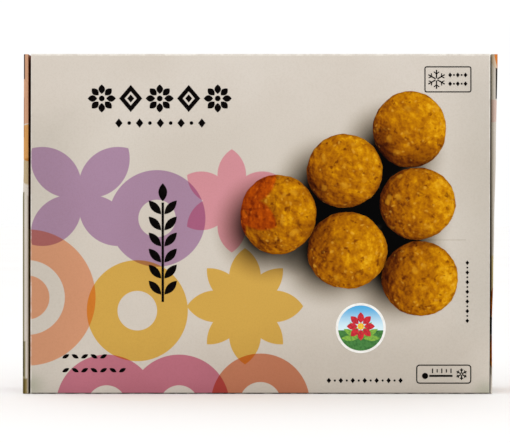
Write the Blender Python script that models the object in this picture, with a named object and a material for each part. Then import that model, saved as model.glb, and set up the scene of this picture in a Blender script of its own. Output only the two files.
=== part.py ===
"""A shut folding carton for frozen sweets, standing upright on its bottom panel.

The carton is one piece: a four-panel sleeve of paperboard whose two ends are
closed by flaps hinged on the back panel. Each flap runs forward across its end,
turns round its tuck crease and goes in behind the front panel's cut edge. The
board springs, so both flaps stand a few millimetres proud of the ends, with a
narrow slot beside the front panel. It is shut and opaque, so it is one solid.

Units are metres. +X is to the right of someone facing the carton, the front
panel faces -Y and +Z is up. The origin is at the middle of the base.
"""

import math

import bmesh
import bpy
from mathutils import Vector

# The sleeve, outside the board and between its creases
PANEL_WIDTH = 0.210
PANEL_HEIGHT = 0.155
DEPTH = 0.045
BOARD = 0.00045
CREASE_RADIUS = 0.0009
CREASE_STEPS = 3

# How far the front and back panels swell at their middles, and the share of that
# left at the front panel's free ends, which nothing holds flat
CROWN = 0.0008
FREE_END_CROWN = 0.35
CROWN_CUTS_ACROSS = 11
CROWN_CUTS_UP = 9

# The glue seam: the back panel's lower edge stops above the bottom crease and
# lies one board thickness proud of the glue flap under it
SEAM_HEIGHT = 0.0016

# The end flaps: height from the base to each flap's lower edge and from its
# upper edge to the top, and how far the flap reaches past the front panel's
# edge at each height
FLAP_CLEARANCE = 0.0007
FULL_REACH = 0.0033
LEFT_REACH = ((0.0, FULL_REACH), (0.105, FULL_REACH), (0.110, 0.0027), (PANEL_HEIGHT, 0.0031))
RIGHT_REACH = (
    (0.0, 0.0008),
    (0.030, 0.0007),
    (0.055, 0.0013),
    (0.075, 0.0017),
    (0.111, 0.0025),
    (PANEL_HEIGHT, FULL_REACH),
)
FLAP_STATIONS = 16

# The plan of a flap, measured from the front panel's edge (outwards) and along Y
FLAP_ROOT = 0.0003
FLAP_BACK_Y = 0.02175
TUCK_CREASE_Y = -0.0203
TUCK_CREASE_DEPTH = 0.0016
TUCK_CREASE_WIDTH = 0.0012
TUCK_CREASE_STEPS = 5
TUCK_FALL = 0.0004
FLAP_BOW_STEPS = 8
SLOT_WIDTH = 0.00085
SLOT_FLOOR_Y = -0.0187
SLOT_LEAN = 0.8

BOARD_COLOUR = (0.60, 0.54, 0.46, 1.0)
BOARD_ROUGHNESS = 0.48


def clear_scene():
    """Remove every object, so that the script starts from nothing."""
    for existing in list(bpy.data.objects):
        bpy.data.objects.remove(existing, do_unlink=True)


def board_material():
    """The printed paperboard's plain ground colour."""
    material = bpy.data.materials.new("printed_board")
    material.use_nodes = True
    shader = material.node_tree.nodes["Principled BSDF"]
    shader.inputs["Base Color"].default_value = BOARD_COLOUR
    shader.inputs["Roughness"].default_value = BOARD_ROUGHNESS
    shader.inputs["Metallic"].default_value = 0.0
    return material


def object_from(name, bm):
    """Turn a bmesh into an object in the scene."""
    mesh = bpy.data.meshes.new(name)
    bm.to_mesh(mesh)
    bm.free()
    made = bpy.data.objects.new(name, mesh)
    bpy.context.scene.collection.objects.link(made)
    return made


def helper(name, bm):
    """An object that only takes part in a Boolean."""
    made = object_from(name, bm)
    made.hide_render = True
    made.display_type = "WIRE"
    return made


def add_boolean(target, other, operation):
    """Join the other object to the target, or cut it away."""
    modifier = target.modifiers.new(f"{operation.lower()}_{other.name}", "BOOLEAN")
    modifier.operation = operation
    modifier.solver = "EXACT"
    modifier.object = other


def is_creased(edge):
    """Every edge of the block is a crease but the front panel's two cut ends."""
    ends = [vert.co for vert in edge.verts]
    upright = abs(ends[0].z - ends[1].z) > PANEL_HEIGHT / 2
    at_front = all(end.y < 0 for end in ends)
    return not (upright and at_front)


def cut_into_strips(bm, axis, length, start, cuts):
    """Cut the whole mesh by evenly spaced planes across one axis."""
    normal = Vector((0, 0, 0))
    normal[axis] = 1.0
    for index in range(1, cuts + 1):
        place = Vector((0, 0, 0))
        place[axis] = start + length * index / (cuts + 1)
        geometry = bm.verts[:] + bm.edges[:] + bm.faces[:]
        bmesh.ops.bisect_plane(bm, geom=geometry, plane_co=place, plane_no=normal, dist=1e-7)


def crown_at(x, z, facing):
    """How far the front (facing -1) or back (facing 1) panel swells at a point."""
    flat_width = PANEL_WIDTH - 2 * CREASE_RADIUS
    flat_height = PANEL_HEIGHT - 2 * CREASE_RADIUS
    up = 1 - (2 * (z - PANEL_HEIGHT / 2) / flat_height) ** 2
    if facing < 0:
        across = 1 - (1 - FREE_END_CROWN) * (2 * x / PANEL_WIDTH) ** 2
    else:
        across = 1 - (2 * x / flat_width) ** 2
    return CROWN * max(up, 0.0) * max(across, 0.0)


def sleeve():
    """The four-panel sleeve: a block with rounded creases and swollen faces."""
    bm = bmesh.new()
    bmesh.ops.create_cube(bm, size=1.0)
    bmesh.ops.scale(bm, vec=(PANEL_WIDTH, DEPTH, PANEL_HEIGHT), verts=bm.verts)
    bmesh.ops.translate(bm, vec=(0, 0, PANEL_HEIGHT / 2), verts=bm.verts)
    bmesh.ops.bevel(
        bm,
        geom=[edge for edge in bm.edges if is_creased(edge)],
        offset=CREASE_RADIUS,
        segments=CREASE_STEPS,
        profile=0.5,
        affect="EDGES",
        material=-1,
    )
    cut_into_strips(bm, 0, PANEL_WIDTH, -PANEL_WIDTH / 2, CROWN_CUTS_ACROSS)
    cut_into_strips(bm, 2, PANEL_HEIGHT, 0, CROWN_CUTS_UP)
    face_y = DEPTH / 2 - 1e-6
    for vert in bm.verts:
        if abs(vert.co.y) > face_y:
            facing = math.copysign(1.0, vert.co.y)
            vert.co.y += facing * crown_at(vert.co.x, vert.co.z, facing)
    bmesh.ops.recalc_face_normals(bm, faces=bm.faces)
    return object_from("carton", bm)


def reach_at(keys, z):
    """The flap's reach at a height, straight between the keys around it."""
    for (low, first), (high, second) in zip(keys, keys[1:]):
        if z <= high:
            return first + (second - first) * (z - low) / (high - low)
    return keys[-1][1]


def flap_plan(reach):
    """A flap's outline in plan, as (outwards, y) points from its hinge to its slot.

    The flap bows from the back crease out to the tuck crease, rolls round it,
    falls a little towards the front panel and drops into the slot beside it.
    """
    slot = min(SLOT_WIDTH, reach / 2)
    roll = min(TUCK_CREASE_WIDTH, 0.6 * (reach - slot))
    points = [(-FLAP_ROOT, FLAP_BACK_Y)]
    for index in range(FLAP_BOW_STEPS):
        way = index / FLAP_BOW_STEPS
        y = FLAP_BACK_Y - BOARD + (TUCK_CREASE_Y - FLAP_BACK_Y + BOARD) * way
        points.append((reach * math.sin(way * math.pi / 2), y))
    for index in range(TUCK_CREASE_STEPS + 1):
        turn = math.pi / 2 * index / TUCK_CREASE_STEPS
        outwards = reach - roll * (1 - math.cos(turn))
        points.append((outwards, TUCK_CREASE_Y - TUCK_CREASE_DEPTH * math.sin(turn)))
    points.append((slot, TUCK_CREASE_Y - TUCK_CREASE_DEPTH + TUCK_FALL))
    points.append((slot * SLOT_LEAN, SLOT_FLOOR_Y))
    points.append((-FLAP_ROOT, SLOT_FLOOR_Y))
    return points


def flap_heights(keys):
    """The heights at which a flap's plan is set out, from its lower edge up."""
    low = FLAP_CLEARANCE
    high = PANEL_HEIGHT - FLAP_CLEARANCE
    heights = [low + (high - low) * index / FLAP_STATIONS for index in range(FLAP_STATIONS + 1)]
    spacing = (high - low) / FLAP_STATIONS
    for key, _ in keys:
        if low < key < high:
            heights = [z for z in heights if abs(z - key) > spacing / 4]
            heights.append(key)
    return sorted(heights)


def end_flap(name, side, keys):
    """One end flap, as its plan drawn up through its heights. Side is -1 or 1."""
    bm = bmesh.new()
    order = bm.verts.layers.int.new("order")

    def place(verts, z):
        plan = flap_plan(reach_at(keys, z))
        for vert in verts:
            outwards, y = plan[vert[order]]
            vert.co = (side * (PANEL_WIDTH / 2 + outwards), y, z)

    heights = flap_heights(keys)
    ring = []
    for index in range(len(flap_plan(FULL_REACH))):
        vert = bm.verts.new((0, 0, 0))
        vert[order] = index
        ring.append(vert)
    place(ring, heights[0])
    face = bm.faces.new(ring)
    for z in heights[1:]:
        grown = bmesh.ops.extrude_face_region(bm, geom=[face])["geom"]
        if z != heights[1]:
            bm.faces.remove(face)
        face = next(item for item in grown if isinstance(item, bmesh.types.BMFace))
        place([item for item in grown if isinstance(item, bmesh.types.BMVert)], z)
    bmesh.ops.recalc_face_normals(bm, faces=bm.faces)
    return helper(name, bm)


def seam_cutter():
    """What the glue seam leaves out below the back panel's lower edge."""
    bm = bmesh.new()
    bmesh.ops.create_cube(bm, size=1.0)
    bmesh.ops.scale(bm, vec=(PANEL_WIDTH * 1.2, 4 * BOARD, 2 * SEAM_HEIGHT), verts=bm.verts)
    bmesh.ops.translate(bm, vec=(0, DEPTH / 2 + BOARD, 0), verts=bm.verts)
    return helper("seam_cutter", bm)


def main():
    """Build the carton."""
    clear_scene()
    carton = sleeve()
    carton.data.materials.append(board_material())
    add_boolean(carton, end_flap("left_flap", -1, LEFT_REACH), "UNION")
    add_boolean(carton, end_flap("right_flap", 1, RIGHT_REACH), "UNION")
    add_boolean(carton, seam_cutter(), "DIFFERENCE")


main()
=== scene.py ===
"""Dress a shut folding carton for frozen sweets, and set it up for the camera.

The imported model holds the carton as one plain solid. This script stands the real
carton in its place: a sleeve of printed paperboard folded from one sheet, with an
end flap sprung proud at each side, a printed picture of round crumb sweets, and
ornaments laid on the board as films of ink.

Everything is in metres in the carton's own frame: +X to the right across the front
panel, -Y out of the front panel, +Z up, with the origin at the middle of the base.
Places in the print are in millimetres, across from the panel's middle and up from
its lower crease. On an end flap they run across from its back crease.
"""

import logging
import math
import random
from collections.abc import Callable, Sequence
from dataclasses import dataclass
from enum import Enum

import bmesh
import bpy
from mathutils import Matrix, Vector, noise


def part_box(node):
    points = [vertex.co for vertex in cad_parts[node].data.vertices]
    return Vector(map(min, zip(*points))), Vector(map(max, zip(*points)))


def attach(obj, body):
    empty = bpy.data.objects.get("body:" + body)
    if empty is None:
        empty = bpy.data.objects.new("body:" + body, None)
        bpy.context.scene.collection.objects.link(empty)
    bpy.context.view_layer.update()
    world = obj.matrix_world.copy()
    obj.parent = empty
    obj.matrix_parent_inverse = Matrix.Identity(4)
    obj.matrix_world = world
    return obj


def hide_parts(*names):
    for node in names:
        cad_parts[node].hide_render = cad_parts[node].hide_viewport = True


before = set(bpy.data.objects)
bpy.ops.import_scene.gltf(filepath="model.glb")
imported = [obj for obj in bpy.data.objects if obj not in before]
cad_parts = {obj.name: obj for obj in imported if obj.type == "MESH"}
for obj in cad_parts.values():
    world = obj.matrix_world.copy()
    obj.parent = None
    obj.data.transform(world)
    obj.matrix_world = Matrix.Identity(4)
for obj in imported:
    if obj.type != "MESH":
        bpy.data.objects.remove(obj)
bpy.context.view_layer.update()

LOG = logging.getLogger("carton")
MM = 0.001
NODE = "carton"
BODY = "root"
SHEET_UV = "sheet"
# Closer than this, in metres, two places are the same
NEAR = 1e-6
CREASE_STEPS = 5
SHARP_ANGLE = math.radians(40)

MATH = "ShaderNodeMath"
VECTOR = "ShaderNodeVectorMath"
PARTS = "ShaderNodeSeparateXYZ"
RANGE = "ShaderNodeMapRange"
MIX = "ShaderNodeMix"
NOISE = "ShaderNodeTexNoise"
CELLS = "ShaderNodeTexVoronoi"
EASED = {"interpolation_type": "SMOOTHSTEP"}
COVER = {"data_type": "RGBA"}
TINT = {"data_type": "RGBA", "blend_type": "MULTIPLY"}

Colour = tuple[float, float, float, float]
Pair = tuple[float, float]
Place = tuple[float, float]
Point = tuple[float, float, float]
Socket = bpy.types.NodeSocket
Tree = bpy.types.NodeTree
Mesh = bmesh.types.BMesh
Vert = bmesh.types.BMVert
Edge = bmesh.types.BMEdge
Piece = bpy.types.Object


def linear(hex_code: str) -> Colour:
    """Turn an sRGB hex colour to linear light.

    Args:
        hex_code: Six hex digits after a hash.

    Returns:
        Red, green, blue and an alpha of one.
    """
    shares = [int(hex_code[start : start + 2], 16) / 255 for start in (1, 3, 5)]
    bent = [share / 12.92 if share <= 0.04045 else ((share + 0.055) / 1.055) ** 2.4 for share in shares]
    return (bent[0], bent[1], bent[2], 1.0)


def per_metre(millimetres: float) -> float:
    """Give a texture's scale from the real size of its grain."""
    return 1 / (millimetres * MM)


def put(
    tree: Tree, kind: str, values: Sequence | dict = (), output: int | str = 0, **settings: str
) -> Socket:
    """Add a node with its settings and links.

    Args:
        tree: The node tree.
        kind: The node's type.
        values: What its inputs take, in turn or by name or number: a value, a socket
            to link, or None to leave one as it is.
        output: Which output to hand back.
        **settings: The node's own properties.

    Returns:
        The chosen output.
    """
    node = tree.nodes.new(kind)
    for name, value in settings.items():
        setattr(node, name, value)
    for key, value in values.items() if isinstance(values, dict) else enumerate(values):
        if isinstance(value, bpy.types.NodeSocket):
            tree.links.new(value, node.inputs[key])
        elif value is not None:
            node.inputs[key].default_value = value
    return node.outputs[output]


# The shape of the folded board


@dataclass(frozen=True)
class Blank:
    """The carton once folded, with outside sizes in metres.

    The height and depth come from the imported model, so the board meets its box.
    crown is how far the large panels swell at their middles, and free_end_crown the
    share of it left at the front panel's ends. wave is a slight ripple's height. lip
    is the strip that a panel keeps past its crease, seam how far the back panel's
    cut edge stops above the base, and end_gap the gap over and under the end flaps.
    """

    height: float
    depth: float
    width: float = 0.210
    board: float = 0.00045
    crease: float = 0.0009
    crown: float = 0.0008
    free_end_crown: float = 0.35
    wave: float = 0.00006
    wave_length: float = 0.045
    lip: float = 0.0005
    seam: float = 0.0016
    end_gap: float = 0.00015

    @classmethod
    def from_frame(cls) -> "Blank":
        """Read the carton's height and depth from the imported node."""
        low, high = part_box(NODE)
        return cls(height=high.z - low.z, depth=high.y - low.y - 2 * cls.crown)

    @property
    def front(self) -> float:
        """The Y of the front panel at its creases."""
        return -self.depth / 2

    def swell(self, x: float, z: float, at_ends: float) -> float:
        """How far a large panel stands out of flat at a point.

        Args:
            x: Across from the panel's middle.
            z: Up from the base.
            at_ends: The share of the crown left at the panel's ends.

        Returns:
            The distance outwards, in metres.
        """
        reach = self.height - 2 * self.crease
        up = max(1 - (2 * (z - self.height / 2) / reach) ** 2, 0.0)
        across = max(1 - (1 - at_ends) * (2 * x / self.width) ** 2, 0.0)
        ripple = noise.noise(Vector((x, at_ends, z)) / self.wave_length)
        return (self.crown + self.wave * (ripple - 1)) * up * across

    def front_y(self, x: float, z: float) -> float:
        """The front panel's outside at a point."""
        return self.front - self.swell(x, z, self.free_end_crown)

    def back_y(self, x: float, z: float) -> float:
        """The back panel's outside at a point."""
        return self.depth / 2 + self.swell(x, z, 0.0)

    def sheet_place(self, co: Vector) -> Place:
        """Where a point of the sleeve lies on the flat sheet, in millimetres.

        The sheet runs from the top panel down the front panel and on to the base.

        Args:
            co: A point on the sleeve's outside.

        Returns:
            Across from the middle, and up from the lower crease.
        """
        inner = self.front + self.crease
        past = max(co.y - inner, 0.0)
        fall = max(inner - co.y, 0.0)
        top = self.height - self.crease
        up = co.z
        if co.z < self.crease:
            up = self.crease - self.crease * math.atan2(self.crease - co.z, fall) - past
        elif co.z > top:
            up = top + self.crease * math.atan2(co.z - top, fall) + past
        return (co.x / MM, up / MM)


def back_place(co: Vector) -> Place:
    """Where a point of the back panel lies, in millimetres, seen from behind."""
    return (-co.x / MM, co.z / MM)


def edges_at(bm: Mesh, axis: int, value: float) -> list[Edge]:
    """Find the edges that lie in a plane across one axis.

    Args:
        bm: The mesh.
        axis: 0, 1 or 2 for X, Y or Z.
        value: Where the plane crosses the axis.

    Returns:
        The edges in that plane.
    """
    return [edge for edge in bm.edges if all(abs(vert.co[axis] - value) < NEAR for vert in edge.verts)]


def folded(bm: Mesh, edges: list[Edge], centre: Point, axis: Point, degrees: float) -> list[Edge]:
    """Carry a sheet's edge round a crease.

    Args:
        bm: The mesh.
        edges: The edge to carry on.
        centre: A point on the crease's axis.
        axis: The crease's direction.
        degrees: How far to turn.

    Returns:
        The edge past the crease.
    """
    angle = math.radians(degrees)
    made = bmesh.ops.spin(
        bm, geom=edges, cent=centre, axis=axis, angle=angle, steps=CREASE_STEPS, use_duplicate=False
    )
    return [item for item in made["geom_last"] if isinstance(item, Edge)]


def run_on(bm: Mesh, edges: list[Edge], way: Point) -> list[Edge]:
    """Carry a sheet's edge straight on.

    Args:
        bm: The mesh.
        edges: The edge to carry on.
        way: How far, in metres.

    Returns:
        The sheet's new edge.
    """
    grown = bmesh.ops.extrude_edge_only(bm, edges=edges)["geom"]
    bmesh.ops.translate(bm, vec=way, verts=[item for item in grown if isinstance(item, Vert)])
    return [item for item in grown if isinstance(item, Edge)]


def object_from(name: str, bm: Mesh, materials: Sequence[bpy.types.Material]) -> Piece:
    """Turn a bmesh into an object in the scene, and free the bmesh.

    Args:
        name: The object's name.
        bm: The mesh.
        materials: One for each of its material numbers.

    Returns:
        The object.
    """
    mesh = bpy.data.meshes.new(name)
    bm.to_mesh(mesh)
    bm.free()
    for material in materials:
        mesh.materials.append(material)
    made = bpy.data.objects.new(name, mesh)
    bpy.context.scene.collection.objects.link(made)
    return made


def put_on_carton(piece: Piece) -> None:
    """Let a finished piece move with the carton."""
    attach(piece, BODY)


# What the print is drawn with


class Figure:
    """A shape in the print, known by the distance to its outline."""

    def distance(self, tree: Tree, place: Socket) -> Socket:
        """Give the distance to the outline in millimetres, below zero inside.

        Args:
            tree: The material's node tree.
            place: The point's place on the sheet.

        Returns:
            The distance.
        """
        raise NotImplementedError


@dataclass(frozen=True)
class Disc(Figure):
    """A round field."""

    x: float
    up: float
    radius: float

    def distance(self, tree: Tree, place: Socket) -> Socket:
        """Give the distance to the disc's outline."""
        away = put(tree, VECTOR, (place, (self.x, self.up, 0)), "Value", operation="DISTANCE")
        return put(tree, MATH, (away, self.radius), operation="SUBTRACT")


@dataclass(frozen=True)
class Ring(Figure):
    """A round band between two radii."""

    x: float
    up: float
    inner: float
    outer: float

    def distance(self, tree: Tree, place: Socket) -> Socket:
        """Give the distance to the nearer of the band's two outlines.

        Args:
            tree: The material's node tree.
            place: The point's place on the sheet.

        Returns:
            The distance in millimetres, below zero inside.
        """
        away = Disc(self.x, self.up, (self.inner + self.outer) / 2).distance(tree, place)
        band = put(tree, MATH, (away,), operation="ABSOLUTE")
        return put(tree, MATH, (band, (self.outer - self.inner) / 2), operation="SUBTRACT")


@dataclass(frozen=True)
class Bar(Figure):
    """An oblong."""

    x: float
    up: float
    wide: float
    high: float

    def distance(self, tree: Tree, place: Socket) -> Socket:
        """Give the distance to the nearest side's line.

        Args:
            tree: The material's node tree.
            place: The point's place on the sheet.

        Returns:
            The distance in millimetres, below zero inside.
        """
        local = put(tree, VECTOR, (place, (self.x, self.up, 0)), operation="SUBTRACT")
        quarter = put(tree, VECTOR, (local,), operation="ABSOLUTE")
        past = put(tree, VECTOR, (quarter, (self.wide / 2, self.high / 2, 0)), operation="SUBTRACT")
        sides = (put(tree, PARTS, (past,), "X"), put(tree, PARTS, (past,), "Y"))
        return put(tree, MATH, sides, operation="MAXIMUM")


@dataclass(frozen=True)
class Blossom(Figure):
    """Pointed petals round a middle, alike to the left and right and above and below.

    turns holds the petals' angles in the upper right quarter, in degrees.
    """

    x: float
    up: float
    length: float
    width: float
    turns: tuple[float, ...] = (45.0,)

    def distance(self, tree: Tree, place: Socket) -> Socket:
        """Give the distance to the nearest petal, which is what two equal discs share.

        Args:
            tree: The material's node tree.
            place: The point's place on the sheet.

        Returns:
            The distance in millimetres, below zero inside.
        """
        local = put(tree, VECTOR, (place, (self.x, self.up, 0)), operation="SUBTRACT")
        quarter = put(tree, VECTOR, (local,), operation="ABSOLUTE")
        bend = (self.length**2 + self.width**2) / (4 * self.width)
        nearest = None
        for degrees in self.turns:
            along = Matrix.Rotation(math.radians(degrees), 3, "Z") @ Vector((1, 0, 0))
            across = Vector((-along.y, along.x, 0)) * (bend - self.width / 2)
            discs = [(along * self.length / 2 + shift)[:] for shift in (-across, across)]
            away = [put(tree, VECTOR, (quarter, disc), "Value", operation="DISTANCE") for disc in discs]
            far = put(tree, MATH, away, operation="MAXIMUM")
            petal = put(tree, MATH, (far, bend), operation="SUBTRACT")
            nearest = put(tree, MATH, (nearest, petal), operation="MINIMUM") if nearest else petal
        return nearest


@dataclass(frozen=True)
class InkField:
    """Figures printed in one transparent ink.

    shown is the colour that the ink makes on the bare board, and edge is how far
    it takes to end, half of that inside the outline.
    """

    shown: str
    figures: tuple[Figure, ...]
    edge: float = 0.25

    def share(self, tree: Tree, place: Socket) -> Socket:
        """Give how much of the ink is at a point.

        Args:
            tree: The material's node tree.
            place: The point's place on the sheet.

        Returns:
            From 0 for none to 1 for all of it.
        """
        nearest = None
        for figure in self.figures:
            away = figure.distance(tree, place)
            nearest = put(tree, MATH, (nearest, away), operation="MINIMUM") if nearest else away
        return put(tree, RANGE, (nearest, -self.edge / 2, self.edge / 2, 1, 0), **EASED)

    def printed(self, tree: Tree, under: Socket, place: Socket, ground: Colour) -> Socket:
        """Print the ink over a colour.

        Args:
            tree: The material's node tree.
            under: What is underneath.
            place: The point's place on the sheet.
            ground: The bare board's colour.

        Returns:
            The printed colour.
        """
        shown = linear(self.shown)
        passed = [min(shown[band] / ground[band], 1.0) for band in range(3)]
        return put(tree, MIX, {0: self.share(tree, place), 6: under, 7: (*passed, 1.0)}, 2, **TINT)


@dataclass(frozen=True)
class Sweet:
    """One round sweet in the printed picture, with sizes in millimetres.

    x and up are its middle's place, and wide and high its reach from there. lit_from
    is the angle that its light comes from, anticlockwise from the right. tilt is how
    much lighter that makes its near side than its middle, as a share of the tones,
    and cast is how far its shade is moved on the sheet.
    """

    x: float
    up: float
    wide: float
    high: float
    seed: int
    lit_from: float = 30.0
    tilt: float = 0.25
    cast: Place = (-4.0, -3.0)
    overprinted: bool = False

    @property
    def radius(self) -> float:
        """Its radius if it were quite round."""
        return (self.wide + self.high) / 2


class Joined(Enum):
    """How what several sweets do at a point comes together."""

    PRODUCT = "MULTIPLY"
    SUM = "ADD"


@dataclass(frozen=True)
class CastShade:
    """The soft shade that pictured sweets cast, in millimetres past their edges.

    notch is how far two sweets' shades deepen each other where they meet, and
    notch_depth how much at most. thrown is the share of each sweet's cast by which
    its shade is moved.
    """

    sweets: tuple[Sweet, ...]
    full: float = -9.2
    gone: float = 10.0
    notch: float = 13.6
    notch_depth: float = 0.45
    thrown: float = 1.0
    dark: str = "#0c0704"
    warmth: str = "#fff4e0"

    # How many sweets' shades, added up, start and complete a notch's own shade
    NOTCH_STARTS = 1.3
    NOTCH_WHOLE = 2.0

    def gathered(self, tree: Tree, place: Socket, low: float, high: float, joined: Joined) -> Socket:
        """Bring the sweets' light, or their shade, together at a point.

        Args:
            tree: The material's node tree.
            place: The point's place on the sheet.
            low: Where the light starts, past the edge of a sweet's shade.
            high: Where it is whole.
            joined: PRODUCT for the eased lights, or SUM for the shades.

        Returns:
            The product or the sum.
        """
        ends, ramp = ((0, 1), EASED) if joined is Joined.PRODUCT else ((1, 0), {})
        together = None
        for sweet in self.sweets:
            middle = (sweet.x + self.thrown * sweet.cast[0], sweet.up + self.thrown * sweet.cast[1], 0)
            away = put(tree, VECTOR, (place, middle), "Value", operation="DISTANCE")
            one = put(tree, RANGE, (away, sweet.radius + low, sweet.radius + high, *ends), **ramp)
            together = put(tree, MATH, (together, one), operation=joined.value) if together else one
        return together

    def printed(self, tree: Tree, under: Socket, place: Socket, depth: float = 1.0) -> Socket:
        """Shade a colour.

        Args:
            tree: The material's node tree.
            under: The colour.
            place: The point's place on the sheet.
            depth: How deep the shade is, from 0 to 1.

        Returns:
            The shaded colour.
        """
        open_light = self.gathered(tree, place, self.full, self.gone, Joined.PRODUCT)
        shade = put(tree, RANGE, (open_light, 0, 1, depth, 0))
        warmed = put(tree, MIX, {0: shade, 6: under, 7: linear(self.warmth)}, 2, **TINT)
        shaded = put(tree, MIX, {0: shade, 6: warmed, 7: linear(self.dark)}, 2, **TINT)
        between = self.gathered(tree, place, 0.0, self.notch, Joined.SUM)
        notch = (between, self.NOTCH_STARTS, self.NOTCH_WHOLE, 0, depth * self.notch_depth)
        corner = put(tree, RANGE, notch)
        return put(tree, MIX, {0: corner, 6: shaded, 7: linear(self.dark)}, 2, **TINT)


@dataclass(frozen=True)
class Flecks:
    """Pale specks strewn on a pictured sweet.

    size is a share of the ball's radius, bare the share of places without one, and
    cover how much of the colour under it a speck hides.
    """

    size: float
    bare: float
    cover: float
    shown: str


@dataclass(frozen=True)
class Relief:
    """One kind of unevenness that catches the light on a pictured sweet.

    size is a share of the ball's radius, and weight how strongly it shows. It is
    below zero for cells, whose distance is least on their tops.
    """

    kind: str
    size: float
    detail: float
    weight: float
    feature: str = ""


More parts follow.
